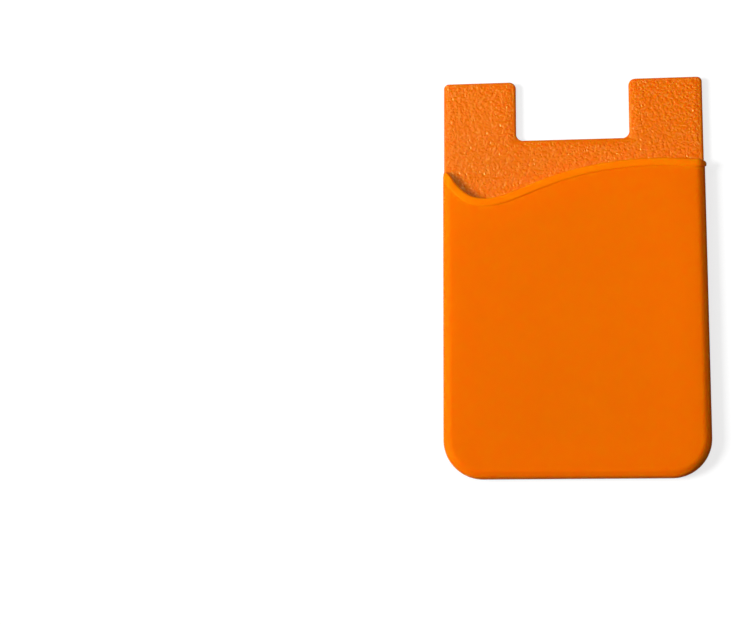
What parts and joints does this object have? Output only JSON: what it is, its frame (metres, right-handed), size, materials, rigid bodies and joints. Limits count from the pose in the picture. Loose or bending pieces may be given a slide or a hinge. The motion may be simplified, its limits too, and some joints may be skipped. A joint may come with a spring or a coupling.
{
  "type": "stick-on phone card holder",
  "caption": "Thin moulded silicone sleeve that sticks to a phone's back and holds bank cards, with a thumb notch between its prongs and a wavy pocket mouth.",
  "frame": {"origin": "centre of the outline on the plane that the release liner lies on", "axes": "+X across the holder, +Y towards the two prongs, +Z out of the pocket's front"},
  "size_m": [0.0573, 0.088, 0.0039],
  "materials": {
    "silicone_orange": "matte",
    "adhesive_film": "satin",
    "liner_paper": "matte"
  },
  "bodies": {
    "root": {"silicone_body": "silicone_orange", "adhesive_sheet": "adhesive_film", "release_liner": "liner_paper"}
  },
  "joints": []
}
